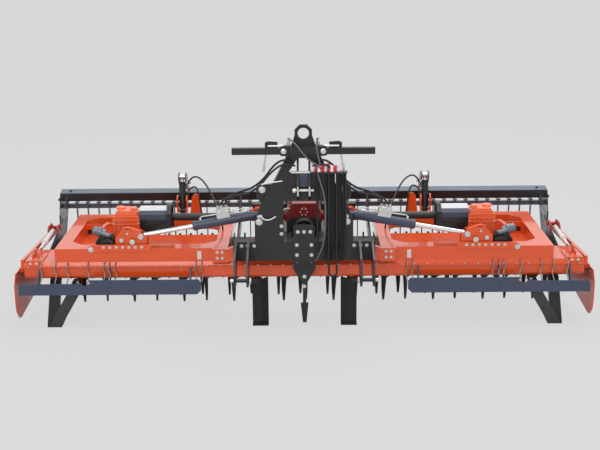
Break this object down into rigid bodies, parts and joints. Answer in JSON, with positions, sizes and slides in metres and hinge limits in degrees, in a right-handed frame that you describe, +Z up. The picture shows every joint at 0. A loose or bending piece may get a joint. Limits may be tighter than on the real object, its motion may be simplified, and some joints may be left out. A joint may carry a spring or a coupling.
{
  "type": "power harrow",
  "caption": "Folding power harrow with knife-tine rotors under two wing troughs, a three-point headstock and toothed packer rollers, standing on parking stands.",
  "frame": {"origin": "on the floor, midway across and midway between the lower link brackets and the back of the rollers", "axes": "+X across the machine to the right wing seen from the front, +Y to the rear, +Z up"},
  "size_m": [5.696, 2.37, 2.057],
  "materials": {
    "orange_paint": "gloss",
    "black_paint": "satin",
    "slate_paint": "satin",
    "red_paint": "gloss",
    "bare_steel": "worn",
    "bright_rod": "polished",
    "black_plastic": "matt"
  },
  "bodies": {
    "frame": {"centre_frame": "black_paint", "centre_gearbox": "red_paint", "input_shaft": "bare_steel", "input_guard": "black_plastic", "light_bar": "black_paint", "hose_rack": "black_paint", "hoses": "black_plastic", "centre_tine": "black_paint"},
    "wing_right": {"trough_right": "orange_paint", "wing_frame_right": "orange_paint", "wing_gearbox_right": "orange_paint", "shaft_guard_right": "slate_paint", "front_board_right": "slate_paint", "side_deflector_right": "orange_paint", "roller_frame_right": "slate_paint", "depth_barrel_right": "black_paint", "depth_rod_right": "bright_rod"},
    "roller_right": {"roller_right": "black_paint"},
    "fold_barrel_right": {"fold_barrel_right": "slate_paint"},
    "fold_rod_right": {"fold_rod_right": "bright_rod"},
    "drive_tube_right": {"drive_tube_right": "black_plastic"},
    "drive_core_right": {"drive_core_right": "black_plastic"},
    "inner_stand_right": {"inner_stand_right": "black_paint"},
    "outer_stand_right": {"outer_stand_right": "black_paint"},
    "rotor_right_01": {"rotor_right_01": "black_paint"},
    "rotor_right_02": {"rotor_right_02": "black_paint"},
    "rotor_right_03": {"rotor_right_03": "black_paint"},
    "rotor_right_04": {"rotor_right_04": "black_paint"},
    "rotor_right_05": {"rotor_right_05": "black_paint"},
    "rotor_right_06": {"rotor_right_06": "black_paint"},
    "rotor_right_07": {"rotor_right_07": "black_paint"},
    "rotor_right_08": {"rotor_right_08": "black_paint"},
    "rotor_right_09": {"rotor_right_09": "black_paint"},
    "rotor_right_10": {"rotor_right_10": "black_paint"},
    "wing_left": {"trough_left": "orange_paint", "wing_frame_left": "orange_paint", "wing_gearbox_left": "orange_paint", "shaft_guard_left": "slate_paint", "front_board_left": "slate_paint", "side_deflector_left": "orange_paint", "roller_frame_left": "slate_paint", "depth_barrel_left": "black_paint", "depth_rod_left": "bright_rod"},
    "roller_left": {"roller_left": "black_paint"},
    "fold_barrel_left": {"fold_barrel_left": "slate_paint"},
    "fold_rod_left": {"fold_rod_left": "bright_rod"},
    "drive_tube_left": {"drive_tube_left": "black_plastic"},
    "drive_core_left": {"drive_core_left": "black_plastic"},
    "inner_stand_left": {"inner_stand_left": "black_paint"},
    "outer_stand_left": {"outer_stand_left": "black_paint"},
    "rotor_left_01": {"rotor_left_01": "black_paint"},
    "rotor_left_02": {"rotor_left_02": "black_paint"},
    "rotor_left_03": {"rotor_left_03": "black_paint"},
    "rotor_left_04": {"rotor_left_04": "black_paint"},
    "rotor_left_05": {"rotor_left_05": "black_paint"},
    "rotor_left_06": {"rotor_left_06": "black_paint"},
    "rotor_left_07": {"rotor_left_07": "black_paint"},
    "rotor_left_08": {"rotor_left_08": "black_paint"},
    "rotor_left_09": {"rotor_left_09": "black_paint"},
    "rotor_left_10": {"rotor_left_10": "black_paint"}
  },
  "joints": [
    {"name": "wing_fold_right", "type": "hinge", "parent": "frame", "child": "wing_right", "pos_m": [0.5, -0.375, 0.85], "axis": [0, -1, 0], "range_deg": [0, 90]},
    {"name": "roller_spin_right", "type": "hinge", "parent": "wing_right", "child": "roller_right", "pos_m": [1.4, 0.925, 0.26], "axis": [1, 0, 0], "continuous": true},
    {"name": "fold_barrel_pivot_right", "type": "hinge", "parent": "frame", "child": "fold_barrel_right", "pos_m": [0.43, -0.55, 1.125], "axis": [0, -1, 0], "range_deg": [0, 100.5]},
    {"name": "fold_rod_slide_right", "type": "slide", "parent": "fold_barrel_right", "child": "fold_rod_right", "axis": [0.985, 0, -0.1726], "range_m": [-0.37, 0]},
    {"name": "drive_swing_right", "type": "hinge", "parent": "frame", "child": "drive_tube_right", "pos_m": [0.24, -0.275, 1.03], "axis": [0, -1, 0], "range_deg": [0, 85]},
    {"name": "drive_slide_right", "type": "slide", "parent": "drive_tube_right", "child": "drive_core_right", "axis": [1, 0, 0], "range_m": [-0.44, 0]},
    {"name": "inner_stand_swing_right", "type": "hinge", "parent": "wing_right", "child": "inner_stand_right", "pos_m": [0.535, -0.61, 0.465], "axis": [0, -1, 0], "range_deg": [0, 90]},
    {"name": "outer_stand_swing_right", "type": "hinge", "parent": "wing_right", "child": "outer_stand_right", "pos_m": [2.235, -0.61, 0.465], "axis": [0, 1, 0], "range_deg": [0, 110]},
    {"name": "rotor_right_01_spin", "type": "hinge", "parent": "wing_right", "child": "rotor_right_01", "pos_m": [0.125, -0.375, 0.45], "axis": [0, 0, 1], "continuous": true},
    {"name": "rotor_right_02_spin", "type": "hinge", "parent": "wing_right", "child": "rotor_right_02", "pos_m": [0.375, -0.375, 0.45], "axis": [0, 0, 1], "continuous": true},
    {"name": "rotor_right_03_spin", "type": "hinge", "parent": "wing_right", "child": "rotor_right_03", "pos_m": [0.625, -0.375, 0.45], "axis": [0, 0, 1], "continuous": true},
    {"name": "rotor_right_04_spin", "type": "hinge", "parent": "wing_right", "child": "rotor_right_04", "pos_m": [0.875, -0.375, 0.45], "axis": [0, 0, 1], "continuous": true},
    {"name": "rotor_right_05_spin", "type": "hinge", "parent": "wing_right", "child": "rotor_right_05", "pos_m": [1.125, -0.375, 0.45], "axis": [0, 0, 1], "continuous": true},
    {"name": "rotor_right_06_spin", "type": "hinge", "parent": "wing_right", "child": "rotor_right_06", "pos_m": [1.375, -0.375, 0.45], "axis": [0, 0, 1], "continuous": true},
    {"name": "rotor_right_07_spin", "type": "hinge", "parent": "wing_right", "child": "rotor_right_07", "pos_m": [1.625, -0.375, 0.45], "axis": [0, 0, 1], "continuous": true},
    {"name": "rotor_right_08_spin", "type": "hinge", "parent": "wing_right", "child": "rotor_right_08", "pos_m": [1.875, -0.375, 0.45], "axis": [0, 0, 1], "continuous": true},
    {"name": "rotor_right_09_spin", "type": "hinge", "parent": "wing_right", "child": "rotor_right_09", "pos_m": [2.125, -0.375, 0.45], "axis": [0, 0, 1], "continuous": true},
    {"name": "rotor_right_10_spin", "type": "hinge", "parent": "wing_right", "child": "rotor_right_10", "pos_m": [2.375, -0.375, 0.45], "axis": [0, 0, 1], "continuous": true},
    {"name": "wing_fold_left", "type": "hinge", "parent": "frame", "child": "wing_left", "pos_m": [-0.5, -0.375, 0.85], "axis": [0, 1, 0], "range_deg": [0, 90]},
    {"name": "roller_spin_left", "type": "hinge", "parent": "wing_left", "child": "roller_left", "pos_m": [-1.4, 0.925, 0.26], "axis": [1, 0, 0], "continuous": true},
    {"name": "fold_barrel_pivot_left", "type": "hinge", "parent": "frame", "child": "fold_barrel_left", "pos_m": [-0.43, -0.55, 1.125], "axis": [0, 1, 0], "range_deg": [0, 100.5]},
    {"name": "fold_rod_slide_left", "type": "slide", "parent": "fold_barrel_left", "child": "fold_rod_left", "axis": [-0.985, 0, -0.1726], "range_m": [-0.37, 0]},
    {"name": "drive_swing_left", "type": "hinge", "parent": "frame", "child": "drive_tube_left", "pos_m": [-0.24, -0.275, 1.03], "axis": [0, 1, 0], "range_deg": [0, 85]},
    {"name": "drive_slide_left", "type": "slide", "parent": "drive_tube_left", "child": "drive_core_left", "axis": [-1, 0, 0], "range_m": [-0.44, 0]},
    {"name": "inner_stand_swing_left", "type": "hinge", "parent": "wing_left", "child": "inner_stand_left", "pos_m": [-0.535, -0.61, 0.465], "axis": [0, 1, 0], "range_deg": [0, 90]},
    {"name": "outer_stand_swing_left", "type": "hinge", "parent": "wing_left", "child": "outer_stand_left", "pos_m": [-2.235, -0.61, 0.465], "axis": [0, -1, 0], "range_deg": [0, 110]},
    {"name": "rotor_left_01_spin", "type": "hinge", "parent": "wing_left", "child": "rotor_left_01", "pos_m": [-0.125, -0.375, 0.45], "axis": [0, 0, 1], "continuous": true},
    {"name": "rotor_left_02_spin", "type": "hinge", "parent": "wing_left", "child": "rotor_left_02", "pos_m": [-0.375, -0.375, 0.45], "axis": [0, 0, 1], "continuous": true},
    {"name": "rotor_left_03_spin", "type": "hinge", "parent": "wing_left", "child": "rotor_left_03", "pos_m": [-0.625, -0.375, 0.45], "axis": [0, 0, 1], "continuous": true},
    {"name": "rotor_left_04_spin", "type": "hinge", "parent": "wing_left", "child": "rotor_left_04", "pos_m": [-0.875, -0.375, 0.45], "axis": [0, 0, 1], "continuous": true},
    {"name": "rotor_left_05_spin", "type": "hinge", "parent": "wing_left", "child": "rotor_left_05", "pos_m": [-1.125, -0.375, 0.45], "axis": [0, 0, 1], "continuous": true},
    {"name": "rotor_left_06_spin", "type": "hinge", "parent": "wing_left", "child": "rotor_left_06", "pos_m": [-1.375, -0.375, 0.45], "axis": [0, 0, 1], "continuous": true},
    {"name": "rotor_left_07_spin", "type": "hinge", "parent": "wing_left", "child": "rotor_left_07", "pos_m": [-1.625, -0.375, 0.45], "axis": [0, 0, 1], "continuous": true},
    {"name": "rotor_left_08_spin", "type": "hinge", "parent": "wing_left", "child": "rotor_left_08", "pos_m": [-1.875, -0.375, 0.45], "axis": [0, 0, 1], "continuous": true},
    {"name": "rotor_left_09_spin", "type": "hinge", "parent": "wing_left", "child": "rotor_left_09", "pos_m": [-2.125, -0.375, 0.45], "axis": [0, 0, 1], "continuous": true},
    {"name": "rotor_left_10_spin", "type": "hinge", "parent": "wing_left", "child": "rotor_left_10", "pos_m": [-2.375, -0.375, 0.45], "axis": [0, 0, 1], "continuous": true}
  ],
  "couplings": [
    {"joint": "fold_barrel_pivot_right", "follows": "wing_fold_right", "ratio": 1.1104},
    {"joint": "fold_rod_slide_right", "follows": "wing_fold_right", "m_per_rad": -0.23098},
    {"joint": "drive_swing_right", "follows": "wing_fold_right", "ratio": 0.93409},
    {"joint": "drive_slide_right", "follows": "wing_fold_right", "m_per_rad": -0.27747},
    {"joint": "rotor_right_02_spin", "follows": "rotor_right_01_spin", "ratio": -1},
    {"joint": "rotor_right_03_spin", "follows": "rotor_right_01_spin", "ratio": 1},
    {"joint": "rotor_right_04_spin", "follows": "rotor_right_01_spin", "ratio": -1},
    {"joint": "rotor_right_05_spin", "follows": "rotor_right_01_spin", "ratio": 1},
    {"joint": "rotor_right_06_spin", "follows": "rotor_right_01_spin", "ratio": -1},
    {"joint": "rotor_right_07_spin", "follows": "rotor_right_01_spin", "ratio": 1},
    {"joint": "rotor_right_08_spin", "follows": "rotor_right_01_spin", "ratio": -1},
    {"joint": "rotor_right_09_spin", "follows": "rotor_right_01_spin", "ratio": 1},
    {"joint": "rotor_right_10_spin", "follows": "rotor_right_01_spin", "ratio": -1},
    {"joint": "fold_barrel_pivot_left", "follows": "wing_fold_left", "ratio": 1.1104},
    {"joint": "fold_rod_slide_left", "follows": "wing_fold_left", "m_per_rad": -0.23098},
    {"joint": "drive_swing_left", "follows": "wing_fold_left", "ratio": 0.93409},
    {"joint": "drive_slide_left", "follows": "wing_fold_left", "m_per_rad": -0.27747},
    {"joint": "rotor_left_01_spin", "follows": "rotor_right_01_spin", "ratio": -1},
    {"joint": "rotor_left_02_spin", "follows": "rotor_right_01_spin", "ratio": 1},
    {"joint": "rotor_left_03_spin", "follows": "rotor_right_01_spin", "ratio": -1},
    {"joint": "rotor_left_04_spin", "follows": "rotor_right_01_spin", "ratio": 1},
    {"joint": "rotor_left_05_spin", "follows": "rotor_right_01_spin", "ratio": -1},
    {"joint": "rotor_left_06_spin", "follows": "rotor_right_01_spin", "ratio": 1},
    {"joint": "rotor_left_07_spin", "follows": "rotor_right_01_spin", "ratio": -1},
    {"joint": "rotor_left_08_spin", "follows": "rotor_right_01_spin", "ratio": 1},
    {"joint": "rotor_left_09_spin", "follows": "rotor_right_01_spin", "ratio": -1},
    {"joint": "rotor_left_10_spin", "follows": "rotor_right_01_spin", "ratio": 1}
  ]
}
